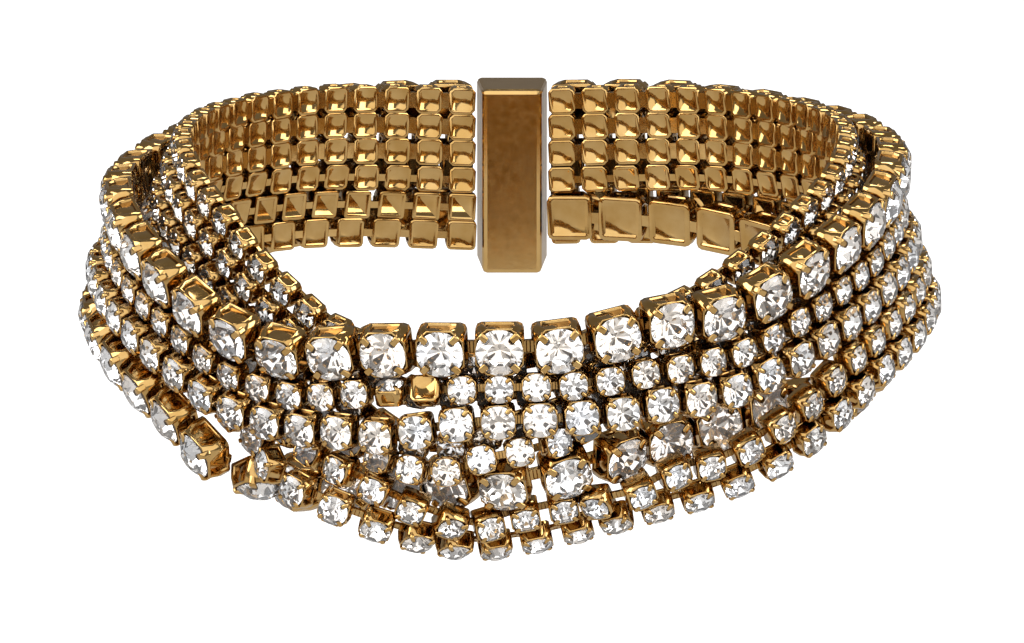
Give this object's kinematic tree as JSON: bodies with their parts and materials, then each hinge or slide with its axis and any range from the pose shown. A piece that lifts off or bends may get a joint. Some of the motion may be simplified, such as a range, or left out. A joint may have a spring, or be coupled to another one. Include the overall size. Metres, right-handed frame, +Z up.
{
  "type": "choker necklace",
  "caption": "Wide gold-tone choker of layered stone cup chains, worn as a closed ring round the neck and fastened at the nape.",
  "frame": {"origin": "on the neck's axis, at the height where the inner edge lies on the neck between its high sides and its low front", "axes": "+Z up along the neck, the front of the necklace faces -Y, +X is the wearer's left"},
  "size_m": [0.1408, 0.1244, 0.058],
  "materials": {
    "gold": "polished gold plating",
    "clasp_gold": "smooth gold plating",
    "cut_glass": "clear cut glass over a silvered back"
  },
  "bodies": {
    "root": {"inner_chain_1": "gold", "inner_chain_2": "gold", "inner_chain_3": "gold", "upper_large_chain": "gold", "upper_small_chain": "gold", "medium_chain": "gold", "middle_small_chain": "gold", "lower_large_chain": "gold", "boxy_chain": "gold", "bottom_chain": "gold", "clasp": "clasp_gold"}
  },
  "joints": []
}
